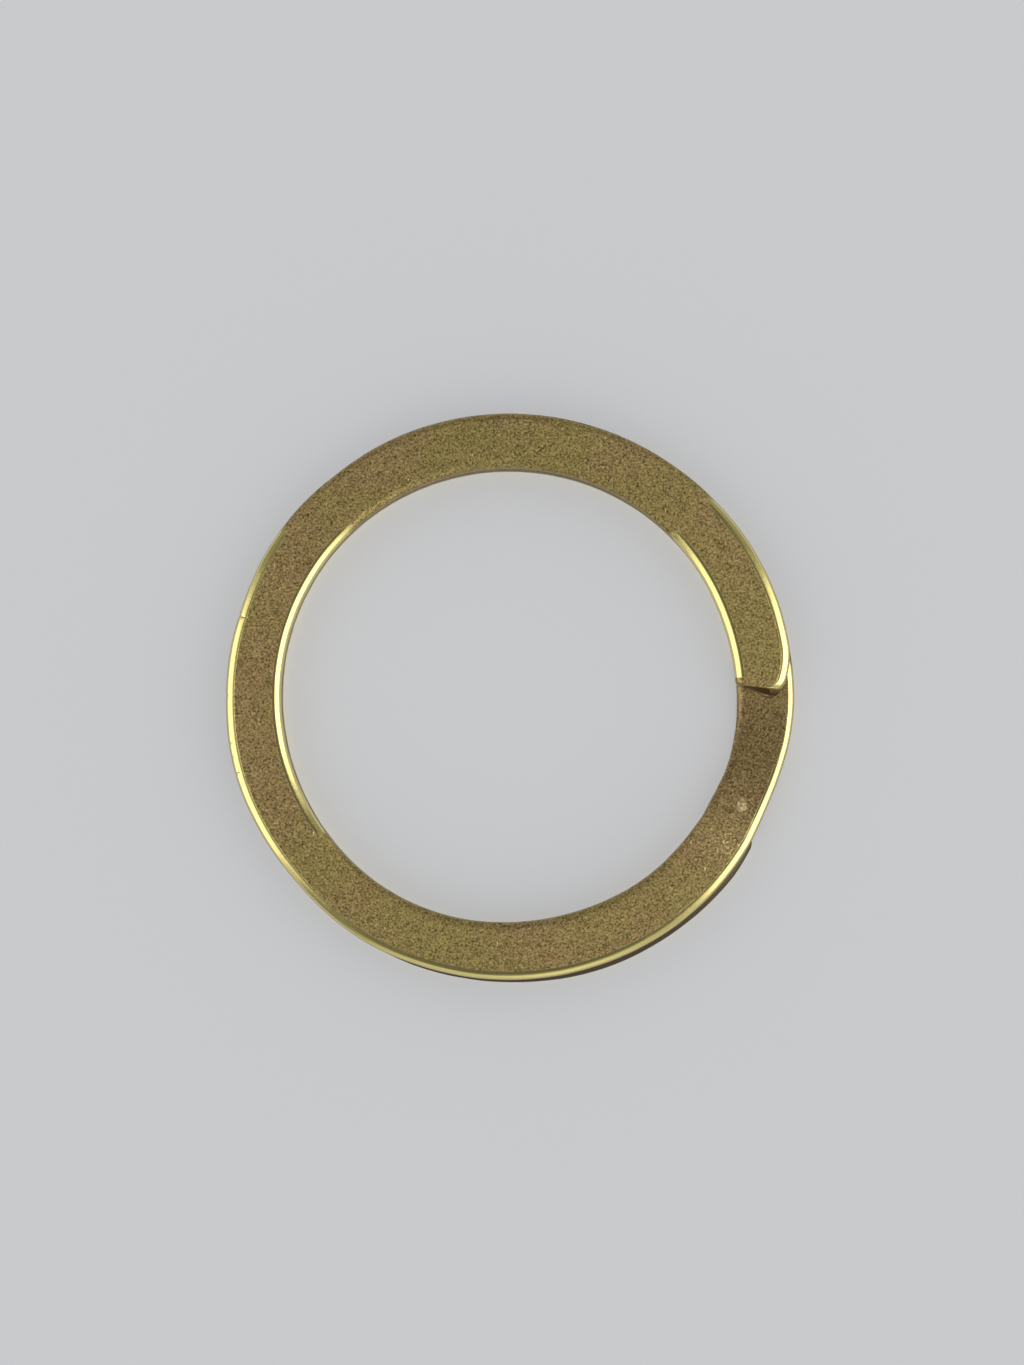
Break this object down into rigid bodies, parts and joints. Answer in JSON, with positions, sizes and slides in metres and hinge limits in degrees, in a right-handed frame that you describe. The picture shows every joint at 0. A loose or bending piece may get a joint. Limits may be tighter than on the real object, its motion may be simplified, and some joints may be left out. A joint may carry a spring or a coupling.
{
  "type": "flat split key ring",
  "caption": "Flat key ring wound from one strip of brass, with a step where the strip passes from one turn to the next.",
  "frame": {"origin": "middle of the eye, half way up the two turns", "axes": "+Z out through the eye, square to the flat of the ring; the step between the turns lies on the +X side, centred 15 degrees towards -Y, and the top turn's sheared end is about 2 degrees past +X"},
  "size_m": [0.032, 0.032, 0.0024],
  "materials": {
    "brass": "tarnished olive-brown face with fine grain, rubbed bright along the rounded edges"
  },
  "bodies": {
    "root": {"split_ring": "brass"}
  },
  "joints": []
}
